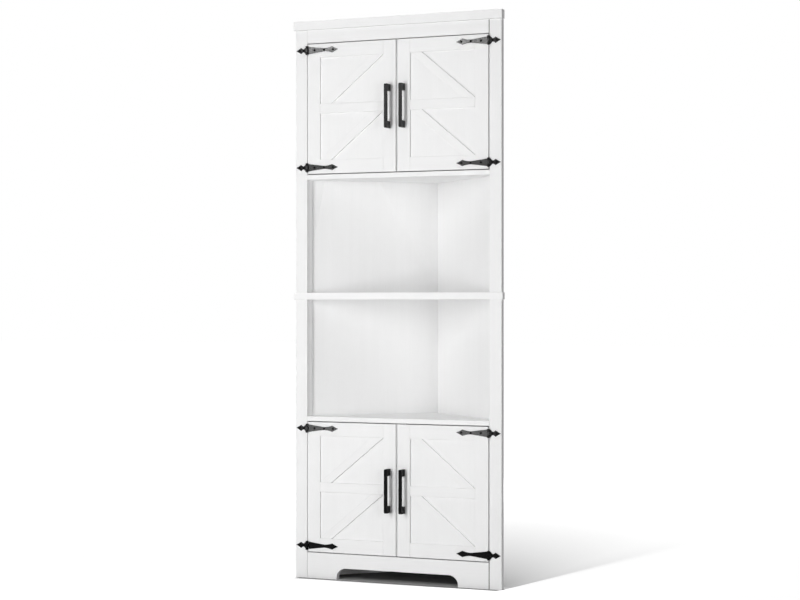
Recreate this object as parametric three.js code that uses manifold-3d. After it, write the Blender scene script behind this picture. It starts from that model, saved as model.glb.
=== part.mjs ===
// A tall corner cupboard: two cupboards with pairs of battened doors, and two open bays between them.
// Its plan is a right-angled triangle. The long side is the front frame, and two wall panels meet at the back.
// Units are millimetres, +Z is up and the front faces -Y. The origin is under the middle of the whole object.

import * as THREE from "three";
import { mergeVertices } from "three/addons/utils/BufferGeometryUtils.js";
import Module from "manifold-3d";

const wasm = await Module();
wasm.setup();

// Front frame
const FRAME_WIDTH = 708;
const FRAME_THICKNESS = 20;
const STILE_WIDTH = 40;
const HEADER_HEIGHT = 43;
const APRON_HEIGHT = 83;
const APRON_CUT_WIDTH = 418;
const APRON_CUT_HEIGHT = 37;
const APRON_CUT_RADIUS = 31;

// Boards
const PANEL_THICKNESS = 15;
const BOARD_THICKNESS = 15;
const MIDDLE_SHELF_THICKNESS = 22;
const MIDDLE_SHELF_OVERHANG = 5;
const CAP_THICKNESS = 28;
const CAP_FRONT_OVERHANG = 9;
const CAP_SIDE_OVERHANG = 4;

// Open bays, from the top of one board to the underside of the next
const LOWER_BAY_HEIGHT = 378;
const UPPER_BAY_HEIGHT = 366;

// Doors
const DOOR_HEIGHT = 419;
const DOOR_THICKNESS = 18;
const DOOR_GAP = 3;
const DOOR_MEETING_GAP = 4;
const BATTEN_THICKNESS = 6;
const DOOR_STILE_WIDTH = 44;
const DOOR_RAIL_WIDTH = 44;
const DOOR_MIDDLE_RAIL_WIDTH = 30;
const BRACE_FOOT_WIDTH = 40;

// Loose shelves behind the doors, and the pegs that carry them
const SHELF_THICKNESS = 15;
const SHELF_SETBACK = 60;
const SHELF_CLEARANCE = 0.6;
const SHELF_HEIGHT_SHARE = 0.5;
const PEG_RADIUS = 2.5;
const PEG_LENGTH = 9;
const PEG_PLACE_SHARES = [0.14, 0.72];

// Strap hinges
const HINGE_FROM_DOOR_END = 20;
const BARREL_RADIUS = 4.5;
const BARREL_HEIGHT = 27;
const MIDDLE_KNUCKLE_HEIGHT = 10;
const KNUCKLE_GAP = 0.4;
const PIN_RADIUS = 2;
const PIN_CLEARANCE = 0.3;
const PIN_HEAD_RADIUS = 3.6;
const PIN_HEAD_HEIGHT = 1.2;
const LEAF_THICKNESS = 2;
const LEAF_ROOT_HEIGHT = 24;
const DOOR_LEAF_LENGTH = 109;
const DOOR_LEAF_WAIST_HEIGHT = 10.5;
const DOOR_LEAF_SPEAR_HEIGHT = 20;
const STILE_LEAF_LENGTH = 39.5;
const STILE_LEAF_WAIST_HEIGHT = 9.5;
const STILE_LEAF_SPEAR_HEIGHT = 19;
const SCREW_HEAD_RADIUS = 3;
const SCREW_CROWN_RADIUS = 1.9;
const SCREW_HEAD_HEIGHT = 1.3;

// Where each leaf is narrowest and widest, and where its screws go, as shares of its length
const DOOR_LEAF_WAIST_SHARE = 0.55;
const DOOR_LEAF_SPEAR_SHARE = 0.81;
const DOOR_LEAF_SCREW_SHARES = [0.24, 0.55, 0.84];
const STILE_LEAF_WAIST_SHARE = 0.31;
const STILE_LEAF_SPEAR_SHARE = 0.56;
const STILE_LEAF_SCREW_SHARES = [0.31, 0.66];

// Handles
const HANDLE_LENGTH = 140;
const HANDLE_WIDTH = 10;
const HANDLE_PROJECTION = 32;
const HANDLE_BAR_THICKNESS = 9;
const HANDLE_FOOT_HEIGHT = 22;
const HANDLE_CORNER_RADIUS = 6;
const HANDLE_INNER_RADIUS = 2;
const HANDLE_FROM_DOOR_EDGE = 23;
const HANDLE_DROP = 2;

// Magnetic catches
const CATCH_WIDTH = 46;
const CATCH_HEIGHT = 15;
const CATCH_DEPTH = 15;
const CATCH_TONGUE_HEIGHT = 16;
const MAGNET_WIDTH = 14;
const MAGNET_HEIGHT = 9;
const MAGNET_CLEARANCE = 0.8;

// Pieces that touch are drawn this far apart, and a cutting tool runs this far past what it cuts
const TOUCH_GAP = 0.3;
const CUT_OVERRUN = 1;

// Facets on round pieces
const PIN_SIDES = 16;
const SCREW_SIDES = 8;
const PEG_SIDES = 10;
const ARC_STEPS = 5;
const LEAF_CURVE_STEPS = 4;

// Heights of the boards, from the floor up
const lowerDoorBottom = APRON_HEIGHT + DOOR_GAP;
const lowerDeckBottom = lowerDoorBottom + DOOR_HEIGHT + DOOR_GAP;
const lowerDeckTop = lowerDeckBottom + BOARD_THICKNESS;
const middleShelfBottom = lowerDeckTop + LOWER_BAY_HEIGHT;
const middleShelfTop = middleShelfBottom + MIDDLE_SHELF_THICKNESS;
const upperFloorBottom = middleShelfTop + UPPER_BAY_HEIGHT;
const upperFloorTop = upperFloorBottom + BOARD_THICKNESS;
const upperDoorBottom = upperFloorTop + DOOR_GAP;
const headerBottom = upperDoorBottom + DOOR_HEIGHT + DOOR_GAP;
const capBottom = headerBottom + HEADER_HEIGHT;
const capTop = capBottom + CAP_THICKNESS;

// The plan. On the outer faces of the wall panels |x| + y is outerReach, and on their inner faces innerReach.
const frameHalf = FRAME_WIDTH / 2;
const openingHalf = frameHalf - STILE_WIDTH;
const outerReach = frameHalf + FRAME_THICKNESS;
const innerReach = outerReach - PANEL_THICKNESS * Math.SQRT2;
const behindFrame = FRAME_THICKNESS + TOUCH_GAP;

// Doors and hinges
const doorInnerX = DOOR_MEETING_GAP / 2;
const doorOuterX = openingHalf - DOOR_GAP;
const hingeX = openingHalf - DOOR_GAP / 2;
const hingeY = -TOUCH_GAP - BARREL_RADIUS;
const boreRadius = (PIN_RADIUS + PIN_CLEARANCE) / Math.cos(Math.PI / PIN_SIDES);
const handleX = doorInnerX + HANDLE_FROM_DOOR_EDGE;

const whiteLaminate = new THREE.MeshStandardMaterial({ color: 0xf1f1ef, roughness: 0.55, metalness: 0 });
const blackSteel = new THREE.MeshStandardMaterial({ color: 0x1b1b1d, roughness: 0.42, metalness: 0.6 });
const catchPlastic = new THREE.MeshStandardMaterial({ color: 0xd9d9d4, roughness: 0.6, metalness: 0 });

const cupboard = new THREE.Group();

function addPiece(name, geometry, material) {
  const piece = new THREE.Mesh(geometry, material);
  piece.name = name;
  cupboard.add(piece);
}

// A closed geometry as a solid that can be joined and cut.
function solidOf(geometry) {
  const bare = geometry.clone();
  bare.deleteAttribute("normal");
  bare.deleteAttribute("uv");
  const merged = mergeVertices(bare);
  return new wasm.Manifold(
    new wasm.Mesh({
      numProp: 3,
      vertProperties: new Float32Array(merged.attributes.position.array),
      triVerts: new Uint32Array(merged.index.array),
    }),
  );
}

function geometryOf(solid) {
  const mesh = solid.getMesh();
  const geometry = new THREE.BufferGeometry();
  geometry.setAttribute("position", new THREE.BufferAttribute(mesh.vertProperties, 3));
  geometry.setIndex(new THREE.BufferAttribute(mesh.triVerts, 1));
  const faceted = geometry.toNonIndexed();
  faceted.computeVertexNormals();
  return faceted;
}

function joined(...geometries) {
  return geometries.map(solidOf).reduce((whole, next) => whole.add(next));
}

function shapeFrom(points) {
  return new THREE.Shape(points.map(([x, y]) => new THREE.Vector2(x, y)));
}

function extruded(shape, depth) {
  return new THREE.ExtrudeGeometry(shape, { depth, bevelEnabled: false, curveSegments: ARC_STEPS });
}

// A plan outline in x and y, raised from one height to another.
function board(planPoints, bottom, top) {
  return extruded(shapeFrom(planPoints), top - bottom).translate(0, 0, bottom);
}

// An elevation outline in x and z, given a thickness in y.
function plate(shape, front, back) {
  return extruded(shape, back - front)
    .rotateX(Math.PI / 2)
    .translate(0, back, 0);
}

function box(x0, x1, y0, y1, z0, z1) {
  return new THREE.BoxGeometry(x1 - x0, y1 - y0, z1 - z0).translate((x0 + x1) / 2, (y0 + y1) / 2, (z0 + z1) / 2);
}

function uprightCylinder(radius, bottom, top, sides) {
  return new THREE.CylinderGeometry(radius, radius, top - bottom, sides)
    .rotateX(Math.PI / 2)
    .translate(0, 0, (bottom + top) / 2);
}

// A board that fits between the wall panels and the corner blocks, from its front edge to the back corner.
function fittedPlan(front) {
  const side = openingHalf - TOUCH_GAP;
  const reach = innerReach - TOUCH_GAP * Math.SQRT2;
  return [
    [-side, front],
    [side, front],
    [side, reach - side],
    [0, reach],
    [-side, reach - side],
  ];
}

// A board that covers the whole plan and stands proud of the frame in front and at the sides.
function coveringPlan(frontOverhang, sideOverhang) {
  const side = frameHalf + sideOverhang;
  return [
    [-side, -frontOverhang],
    [side, -frontOverhang],
    [side, outerReach - side],
    [0, outerReach],
    [-side, outerReach - side],
  ];
}

function addBoards() {
  addPiece("bottom_board", board(fittedPlan(behindFrame), APRON_HEIGHT - BOARD_THICKNESS, APRON_HEIGHT), whiteLaminate);
  addPiece("lower_deck", board(fittedPlan(0), lowerDeckBottom, lowerDeckTop), whiteLaminate);
  const shelfPlan = coveringPlan(MIDDLE_SHELF_OVERHANG, MIDDLE_SHELF_OVERHANG);
  addPiece("middle_shelf", board(shelfPlan, middleShelfBottom, middleShelfTop), whiteLaminate);
  addPiece("upper_floor", board(fittedPlan(0), upperFloorBottom, upperFloorTop), whiteLaminate);
  const capPlan = coveringPlan(CAP_FRONT_OVERHANG, CAP_SIDE_OVERHANG);
  addPiece("top_cap", board(capPlan, capBottom, capTop), whiteLaminate);
}

function addHeader() {
  const side = openingHalf - TOUCH_GAP;
  addPiece("header_rail", box(-side, side, 0, FRAME_THICKNESS, headerBottom, capBottom - TOUCH_GAP), whiteLaminate);
}

// The apron stands on the floor, with a round-cornered arch cut from its lower edge.
function addApron() {
  const side = openingHalf - TOUCH_GAP;
  const cutSide = APRON_CUT_WIDTH / 2;
  const cornerX = cutSide - APRON_CUT_RADIUS;
  const cornerZ = APRON_CUT_HEIGHT - APRON_CUT_RADIUS;
  const outline = new THREE.Shape();
  outline.moveTo(-side, 0);
  outline.lineTo(-cutSide, 0);
  outline.lineTo(-cutSide, cornerZ);
  outline.absarc(-cornerX, cornerZ, APRON_CUT_RADIUS, Math.PI, Math.PI / 2, true);
  outline.absarc(cornerX, cornerZ, APRON_CUT_RADIUS, Math.PI / 2, 0, true);
  outline.lineTo(cutSide, 0);
  outline.lineTo(side, 0);
  outline.lineTo(side, APRON_HEIGHT);
  outline.lineTo(-side, APRON_HEIGHT);
  outline.closePath();
  addPiece("base_apron", plate(outline, 0, FRAME_THICKNESS), whiteLaminate);
}

// One peg, pointing from the inner face of a wall panel into the cupboard.
function shelfPeg(side, share, shelfBottom) {
  const alongX = (innerReach - SHELF_SETBACK) * (1 - share);
  const rooted = PEG_LENGTH + PANEL_THICKNESS / 2;
  return new THREE.CylinderGeometry(PEG_RADIUS, PEG_RADIUS, rooted, PEG_SIDES)
    .translate(0, PEG_LENGTH - rooted / 2, 0)
    .rotateZ((side * 3 * Math.PI) / 4)
    .translate(side * alongX, innerReach - alongX, shelfBottom - TOUCH_GAP - PEG_RADIUS);
}

// The left panel runs through to the back corner, and the right panel butts against it.
function wallPanelPlan(side) {
  const seam = TOUCH_GAP / Math.SQRT2;
  const halfDiagonal = PANEL_THICKNESS / Math.SQRT2;
  const farEnd =
    side < 0
      ? [
          [halfDiagonal, outerReach - halfDiagonal],
          [0, outerReach],
        ]
      : [
          [seam, innerReach - seam],
          [halfDiagonal + seam, outerReach - halfDiagonal - seam],
        ];
  return [[side * (innerReach - behindFrame), behindFrame], ...farEnd, [side * (outerReach - behindFrame), behindFrame]];
}

// A stile, its wall panel and the three-cornered block between them, for one side of one cupboard.
function addSide(level, side, bottom, top, shelfBottom) {
  const hand = side < 0 ? "left" : "right";
  const stile = box(...spanX(side, openingHalf, frameHalf), 0, FRAME_THICKNESS, bottom, top);
  addPiece(`${level}_${hand}_stile`, stile, whiteLaminate);
  const panel = board(wallPanelPlan(side), bottom, top);
  const pegs = PEG_PLACE_SHARES.map((share) => shelfPeg(side, share, shelfBottom));
  addPiece(`${level}_${hand}_wall_panel`, geometryOf(joined(panel, ...pegs)), whiteLaminate);
  const blockReach = innerReach - TOUCH_GAP * Math.SQRT2;
  const block = [
    [side * openingHalf, behindFrame],
    [side * (blockReach - behindFrame), behindFrame],
    [side * openingHalf, blockReach - openingHalf],
  ];
  addPiece(`${level}_${hand}_corner_block`, board(block, bottom, top), whiteLaminate);
}

// Two distances from the centre line, as low and high x on the left (-1) or right (1) side.
function spanX(side, near, far) {
  return side < 0 ? [-far, -near] : [near, far];
}

// A shelf that rests loose on four pegs behind the doors. Returns the height of its underside.
function addLooseShelf(level, floor, ceiling) {
  const bottom = floor + (ceiling - floor) * SHELF_HEIGHT_SHARE - SHELF_THICKNESS / 2;
  const reach = innerReach - SHELF_CLEARANCE * Math.SQRT2;
  const plan = [
    [-(reach - SHELF_SETBACK), SHELF_SETBACK],
    [reach - SHELF_SETBACK, SHELF_SETBACK],
    [0, reach],
  ];
  addPiece(`${level}_loose_shelf`, board(plan, bottom, bottom + SHELF_THICKNESS), whiteLaminate);
  return bottom;
}

// The raised battens of a door: two stiles, three rails and two braces that fall towards the hinges.
function battensGeometry(side, bottom) {
  const top = bottom + DOOR_HEIGHT;
  const meetingX = doorInnerX + DOOR_STILE_WIDTH;
  const hingedX = doorOuterX - DOOR_STILE_WIDTH;
  const fieldHeight = (DOOR_HEIGHT - 2 * DOOR_RAIL_WIDTH - DOOR_MIDDLE_RAIL_WIDTH) / 2;
  let battens = solidOf(box(...spanX(side, doorInnerX, doorOuterX), 0, BATTEN_THICKNESS, bottom, top));
  for (const low of [bottom + DOOR_RAIL_WIDTH, top - DOOR_RAIL_WIDTH - fieldHeight]) {
    const high = low + fieldHeight;
    const aboveBrace = shapeFrom([
      [side * hingedX, high],
      [side * (meetingX + BRACE_FOOT_WIDTH), high],
      [side * hingedX, low],
    ]);
    const belowBrace = shapeFrom([
      [side * meetingX, high],
      [side * meetingX, low],
      [side * (hingedX - BRACE_FOOT_WIDTH), low],
    ]);
    for (const opening of [aboveBrace, belowBrace]) {
      battens = battens.subtract(solidOf(plate(opening, -CUT_OVERRUN, BATTEN_THICKNESS + CUT_OVERRUN)));
    }
  }
  return geometryOf(battens);
}

// A bow handle, as a profile in y and z with its two feet on the door.
function handleGeometry() {
  const half = HANDLE_LENGTH / 2;
  const innerHalf = half - HANDLE_FOOT_HEIGHT;
  const face = -TOUCH_GAP;
  const front = face - HANDLE_PROJECTION;
  const barBack = front + HANDLE_BAR_THICKNESS;
  const round = HANDLE_CORNER_RADIUS;
  const cove = HANDLE_INNER_RADIUS;
  const profile = new THREE.Shape();
  profile.moveTo(face, -half);
  profile.absarc(front + round, -half + round, round, -Math.PI / 2, -Math.PI, true);
  profile.absarc(front + round, half - round, round, Math.PI, Math.PI / 2, true);
  profile.lineTo(face, half);
  profile.lineTo(face, innerHalf);
  profile.absarc(barBack + cove, innerHalf - cove, cove, Math.PI / 2, Math.PI, false);
  profile.absarc(barBack + cove, -innerHalf + cove, cove, Math.PI, (3 * Math.PI) / 2, false);
  profile.lineTo(face, -innerHalf);
  profile.closePath();
  return extruded(profile, HANDLE_WIDTH)
    .rotateX(Math.PI / 2)
    .rotateZ(Math.PI / 2)
    .translate(-HANDLE_WIDTH / 2, 0, 0);
}

// One leaf's outline, from the barrel to its spear point. u runs away from the pin, and z up.
function leafShape(leaf, away) {
  const start = BARREL_RADIUS + KNUCKLE_GAP;
  const root = LEAF_ROOT_HEIGHT / 2;
  const waist = leaf.waistHeight / 2;
  const spear = leaf.spearHeight / 2;
  const waistU = leaf.length * leaf.waistShare;
  const spearU = leaf.length * leaf.spearShare;
  const shape = new THREE.Shape();
  shape.moveTo(away * start, root);
  shape.lineTo(away * waistU, waist);
  shape.quadraticCurveTo((away * (waistU + spearU)) / 2, waist, away * spearU, spear);
  shape.quadraticCurveTo((away * (spearU + leaf.length)) / 2, spear / 2, away * leaf.length, 0);
  shape.quadraticCurveTo((away * (spearU + leaf.length)) / 2, -spear / 2, away * spearU, -spear);
  shape.quadraticCurveTo((away * (waistU + spearU)) / 2, -waist, away * waistU, -waist);
  shape.lineTo(away * start, -root);
  shape.closePath();
  return shape;
}

const doorLeaf = {
  length: DOOR_LEAF_LENGTH,
  waistHeight: DOOR_LEAF_WAIST_HEIGHT,
  spearHeight: DOOR_LEAF_SPEAR_HEIGHT,
  waistShare: DOOR_LEAF_WAIST_SHARE,
  spearShare: DOOR_LEAF_SPEAR_SHARE,
  screwShares: DOOR_LEAF_SCREW_SHARES,
  knuckles: [[-MIDDLE_KNUCKLE_HEIGHT / 2, MIDDLE_KNUCKLE_HEIGHT / 2]],
};

const stileLeaf = {
  length: STILE_LEAF_LENGTH,
  waistHeight: STILE_LEAF_WAIST_HEIGHT,
  spearHeight: STILE_LEAF_SPEAR_HEIGHT,
  waistShare: STILE_LEAF_WAIST_SHARE,
  spearShare: STILE_LEAF_SPEAR_SHARE,
  screwShares: STILE_LEAF_SCREW_SHARES,
  knuckles: [
    [-BARREL_HEIGHT / 2, -MIDDLE_KNUCKLE_HEIGHT / 2 - KNUCKLE_GAP],
    [MIDDLE_KNUCKLE_HEIGHT / 2 + KNUCKLE_GAP, BARREL_HEIGHT / 2],
  ],
};

// A leaf with its knuckles and screw heads, around a pin that stands on the z axis.
function leafSolid(leaf, away) {
  const back = BARREL_RADIUS;
  const front = back - LEAF_THICKNESS;
  let solid = solidOf(
    new THREE.ExtrudeGeometry(leafShape(leaf, away), {
      depth: LEAF_THICKNESS,
      bevelEnabled: false,
      curveSegments: LEAF_CURVE_STEPS,
    })
      .rotateX(Math.PI / 2)
      .translate(0, back, 0),
  );
  for (const [low, high] of leaf.knuckles) {
    const tabHigh = Math.min(high, LEAF_ROOT_HEIGHT / 2);
    const tabLow = Math.max(low, -LEAF_ROOT_HEIGHT / 2);
    const reach = BARREL_RADIUS + KNUCKLE_GAP + CUT_OVERRUN;
    const tab = box(...spanX(away, 0, reach), front, back, tabLow, tabHigh);
    solid = solid.add(solidOf(uprightCylinder(BARREL_RADIUS, low, high, PIN_SIDES))).add(solidOf(tab));
  }
  for (const share of leaf.screwShares) {
    const head = new THREE.CylinderGeometry(SCREW_HEAD_RADIUS, SCREW_CROWN_RADIUS, SCREW_HEAD_HEIGHT, SCREW_SIDES)
      .translate(away * leaf.length * share, front - SCREW_HEAD_HEIGHT / 2, 0);
    solid = solid.add(solidOf(head));
  }
  const bore = uprightCylinder(boreRadius, -BARREL_HEIGHT, BARREL_HEIGHT, PIN_SIDES);
  return geometryOf(solid.subtract(solidOf(bore)));
}

// The pin turned in one piece with a button head at each end.
function hingePin() {
  const headSeat = BARREL_HEIGHT / 2 + TOUCH_GAP;
  const end = headSeat + PIN_HEAD_HEIGHT;
  const profile = [
    [0, -end],
    [PIN_RADIUS, -end],
    [PIN_HEAD_RADIUS, -headSeat - PIN_HEAD_HEIGHT / 2],
    [PIN_HEAD_RADIUS, -headSeat],
    [PIN_RADIUS, -headSeat],
    [PIN_RADIUS, headSeat],
    [PIN_HEAD_RADIUS, headSeat],
    [PIN_HEAD_RADIUS, headSeat + PIN_HEAD_HEIGHT / 2],
    [PIN_RADIUS, end],
    [0, end],
  ].map(([radius, height]) => new THREE.Vector2(radius, height));
  return new THREE.LatheGeometry(profile, PIN_SIDES).rotateX(Math.PI / 2);
}

function addHinge(prefix, side, height) {
  const place = (geometry) => geometry.translate(side * hingeX, hingeY, height);
  addPiece(`${prefix}_hinge_stile_leaf`, place(leafSolid(stileLeaf, side)), blackSteel);
  addPiece(`${prefix}_hinge_door_leaf`, place(leafSolid(doorLeaf, -side)), blackSteel);
  addPiece(`${prefix}_hinge_pin`, place(hingePin()), blackSteel);
}

// A door: a plain slab, the battens on its face, its handle and its two hinges.
function addDoor(level, side, bottom) {
  const name = `${level}_${side < 0 ? "left" : "right"}`;
  const top = bottom + DOOR_HEIGHT;
  const slabFront = BATTEN_THICKNESS + TOUCH_GAP;
  const slab = box(...spanX(side, doorInnerX, doorOuterX), slabFront, DOOR_THICKNESS, bottom, top);
  addPiece(`${name}_door_slab`, slab, whiteLaminate);
  addPiece(`${name}_door_battens`, battensGeometry(side, bottom), whiteLaminate);
  const handleZ = bottom + DOOR_HEIGHT / 2 - HANDLE_DROP;
  const handle = handleGeometry().translate(side * handleX, 0, handleZ);
  addPiece(`${name}_handle`, handle, blackSteel);
  addHinge(`${name}_top`, side, top - HINGE_FROM_DOOR_END);
  addHinge(`${name}_bottom`, side, bottom + HINGE_FROM_DOOR_END);
}

// A double magnetic catch: a housing behind the frame, with a magnet for each of the two doors.
function addCatch(level, doorTop, housingTop) {
  const housingBottom = doorTop - CATCH_HEIGHT;
  const half = CATCH_WIDTH / 2;
  const housing = box(-half, half, behindFrame, behindFrame + CATCH_DEPTH, housingBottom, housingTop);
  const magnets = [-1, 1].map((side) => {
    const outer = half - (CATCH_HEIGHT - MAGNET_HEIGHT) / 2;
    const low = housingBottom + (CATCH_HEIGHT - MAGNET_HEIGHT) / 2;
    return box(
      ...spanX(side, outer - MAGNET_WIDTH, outer),
      DOOR_THICKNESS + MAGNET_CLEARANCE,
      behindFrame + CUT_OVERRUN,
      low,
      low + MAGNET_HEIGHT,
    );
  });
  addPiece(`${level}_magnetic_catch`, geometryOf(joined(housing, ...magnets)), catchPlastic);
}

addBoards();
addHeader();
addApron();
const lowerShelfBottom = addLooseShelf("lower", APRON_HEIGHT, lowerDeckBottom);
const upperShelfBottom = addLooseShelf("upper", upperFloorTop, capBottom);
for (const side of [-1, 1]) {
  addSide("lower", side, 0, middleShelfBottom - TOUCH_GAP, lowerShelfBottom);
  addSide("upper", side, middleShelfTop + TOUCH_GAP, capBottom - TOUCH_GAP, upperShelfBottom);
  addDoor("lower", side, lowerDoorBottom);
  addDoor("upper", side, upperDoorBottom);
}
addCatch("lower", lowerDoorBottom + DOOR_HEIGHT, lowerDeckBottom - TOUCH_GAP);
addCatch("upper", upperDoorBottom + DOOR_HEIGHT, headerBottom + CATCH_TONGUE_HEIGHT);

// The pieces were drawn from the face of the frame, so they move to put the origin under the middle.
const frontmost = -TOUCH_GAP - HANDLE_PROJECTION;
for (const piece of cupboard.children) {
  piece.position.y = -(frontmost + outerReach) / 2;
}

export default cupboard;
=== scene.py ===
"""Dresses a tall corner cupboard in white laminate, with black strap hinges and bow handles.

Each operator makes one piece or one group of like pieces around the frame of solids, in metres.
"""

import math

import bmesh
import bpy
from bpy.props import FloatProperty, FloatVectorProperty, IntProperty, PointerProperty
from bpy.types import Operator, Panel, PropertyGroup
from mathutils import Matrix, Vector


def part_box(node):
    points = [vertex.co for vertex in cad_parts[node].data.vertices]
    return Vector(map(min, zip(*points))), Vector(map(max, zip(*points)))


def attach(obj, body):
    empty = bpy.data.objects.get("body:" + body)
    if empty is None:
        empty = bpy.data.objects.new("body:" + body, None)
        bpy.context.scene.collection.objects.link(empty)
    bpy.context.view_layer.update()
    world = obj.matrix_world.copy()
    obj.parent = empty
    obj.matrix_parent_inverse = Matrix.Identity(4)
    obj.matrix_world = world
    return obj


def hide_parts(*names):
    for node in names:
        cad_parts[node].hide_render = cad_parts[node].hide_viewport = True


bl_info = {
    "name": "Corner Cupboard",
    "version": (1, 0, 0),
    "blender": (4, 5, 0),
    "location": "View3D > Sidebar > Cupboard",
    "description": "Doors, hinges, handles, fixings and finishes of a tall corner cupboard",
    "category": "Object",
}

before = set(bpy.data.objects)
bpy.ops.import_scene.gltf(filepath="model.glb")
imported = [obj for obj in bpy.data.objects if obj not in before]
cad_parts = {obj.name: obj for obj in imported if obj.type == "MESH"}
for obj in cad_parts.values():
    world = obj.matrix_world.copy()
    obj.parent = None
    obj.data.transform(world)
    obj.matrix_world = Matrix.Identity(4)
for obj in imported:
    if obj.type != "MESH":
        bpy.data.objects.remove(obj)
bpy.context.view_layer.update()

CARCASS = "carcass"
LEVELS = ("lower", "upper")
SIDES = {"left": -1, "right": 1}
QUARTERS = [(level, hand, side) for level in LEVELS for hand, side in SIDES.items()]
HINGE_ENDS = ("top", "bottom")
MM = 0.001  # a millimetre
SAME_SPOT = MM / 100

FRONT_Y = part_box("header_rail")[0].y
WALL_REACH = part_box("lower_left_wall_panel")[1].y


def number(name, description, default, **kind):
    """A setting of at least 0 that a user may change."""
    return FloatProperty(name=name, description=description, default=default, min=0.0, **kind)


def length(*setting):
    """A size in metres."""
    return number(*setting, unit="LENGTH", precision=5)


def share(*setting):
    """A part of a whole, from 0 to 1."""
    return number(*setting, max=1.0, subtype="FACTOR")


def power(*setting):
    """The power of a lamp in watts."""
    return number(*setting, unit="POWER")


def colour(name, description, default):
    """A linear colour."""
    return FloatVectorProperty(
        name=name, description=description, default=default, min=0.0, max=1.0, subtype="COLOR"
    )


class LaminateFinish(PropertyGroup):
    """White laminated board with a pressed grain."""

    tint: colour("Tint", "Laminate on the front", (0.89, 0.89, 0.89))
    # A lighter copy of the laminate, painted light that brightens the walls and shelves
    brightened_inner_tint: colour("Inner tint", "Laminate on the walls and shelves", (0.91, 0.91, 0.91))
    # Lighter still, painted light that brightens the corner blocks
    brightened_block_tint: colour("Block tint", "Laminate on the corner blocks", (0.99, 0.99, 0.99))
    grain_tone: share("Grain tone", "How much darker the grain's valleys are", 0.035)
    grain_depth: length("Grain depth", "Depth of the pressed grain", 0.00012)
    roughness: share("Roughness", "Roughness of the face", 0.46)
    arris: length("Arris", "Width of the boards' softened edges", 0.0006)


class BlackFinish(PropertyGroup):
    """Black powder coat on the hinges and handles."""

    tint: colour("Tint", "Colour of the coat", (0.0028, 0.0028, 0.003))
    powder_roughness: share("Roughness", "Roughness of the coat", 0.3)
    powder_specular: share("Specular", "Strength of the coat's reflections", 0.22)
    # Copies of the one coat: the door leaves' reflects more, a painted sheen
    satin_roughness: share("Satin roughness", "Roughness on the door leaves", 0.24)
    satin_specular: share("Satin specular", "Reflections on the door leaves", 0.62)
    # Near the floor it reflects less, painted shade
    dull_roughness: share("Dull roughness", "Roughness near the floor", 0.36)
    dull_specular: share("Dull specular", "Reflections near the floor", 0.05)
    texture_depth: length("Texture depth", "Depth of the coat's fine ripple", 0.00002)


class DoorSizes(PropertyGroup):
    """The raised members on the face of each door."""

    stile_width: length("Stile width", "Width of the upright members", 0.044)
    rail_width: length("Rail width", "Width of the top and bottom rails", 0.044)
    middle_rail_width: length("Middle rail width", "Width of the middle rail", 0.030)
    brace_foot_width: length("Brace foot width", "Width of a brace at a rail", 0.040)
    seam: length("Seam", "Hairline gap between members", 0.00016)
    meet: length("Meet", "How far back the meeting edges stand", 0.0006)
    meeting_arris: length("Meeting arris", "Width of the softened meeting edges", 0.0015)
    band: length("Band", "Thickness of the slabs' edge band", 0.0013)
    hang: length("Hang", "How far left the hinged edges sit", 0.0011)
    arris: length("Arris", "Width of a member's softened edges", 0.0005)


class HandleSizes(PropertyGroup):
    """The bow handles."""

    bar_thickness: length("Bar thickness", "Thickness of the bar, front to back", 0.009)
    foot_height: length("Foot height", "Height of each foot", 0.022)
    corner_radius: length("Corner radius", "Radius of the outer corners", 0.006)
    cove_radius: length("Cove radius", "Radius inside the corners", 0.0025)
    arris: length("Arris", "Rounding of the long edges", 0.0011)
    bolt_radius: length("Bolt radius", "Radius of the bolt heads", 0.0042)


class HingeSizes(PropertyGroup):
    """The spear-pointed strap hinges."""

    leaf_thickness: length("Leaf thickness", "Thickness of the sheet", 0.002)
    root_height: length("Root height", "Height of a leaf beside the barrel", 0.024)
    waist_height: length("Waist height", "Height of a leaf at its narrowest", 0.0098)
    spear_height: length("Spear height", "Height of the spear's shoulders", 0.0198)
    middle_knuckle: length("Middle knuckle", "Height of the door leaf's knuckle", 0.010)
    knuckle_gap: length("Knuckle gap", "Gap between knuckles", 0.0004)
    pin_radius: length("Pin radius", "Radius of the pin", 0.002)
    bore_clearance: length("Bore clearance", "Clearance round the pin", 0.0003)
    arris: length("Arris", "Rounding of a leaf's front edge", 0.00055)
    screw_radius: length("Screw radius", "Radius of the screw heads", 0.0037)
    screw_rise: length("Screw rise", "Height of the screw heads", 0.0015)


class FixingSizes(PropertyGroup):
    """Small fixings on the inside and on the back."""

    cap_radius: length("Cap radius", "Radius of a screw cover", 0.006)
    cap_rise: length("Cap rise", "How far a cover stands off its panel", 0.0006)
    caps_per_board: IntProperty(
        name="Caps per board", description="Covers along each board's edge", default=3, min=1
    )
    plate_width: length("Plate width", "Width of a strike plate", 0.018)
    plate_height: length("Plate height", "Height of a strike plate", 0.0125)
    plate_thickness: length("Plate thickness", "Thickness of a strike plate", 0.0005)


class StageLight(PropertyGroup):
    """The studio around the cupboard."""

    key_power: power("Key power", "The tall strip on the left", 43.0)
    high_power: power("High power", "The box that the upper hinges mirror", 12.5)
    low_power: power("Low power", "The box that the lower hinges mirror", 4.0)
    side_power: power("Side power", "The soft light on the right, for the left walls", 30.0)
    top_power: power("Top power", "The light overhead", 14.0)
    cap_power: power("Cap power", "The light that only the top board sees", 11.0)
    rear_power: power("Rear power", "The light behind the cupboard", 122.0)
    ambient: number("Ambient", "Strength of the even light", 0.06)
    floor_glow: share("Floor glow", "Glow of the floor by the cupboard", 0.9)
    # How much glow the painted shadow takes from the floor
    painted_shadow_depth: share("Shadow depth", "Glow that the shadow takes", 0.68)


# Shapes


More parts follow.
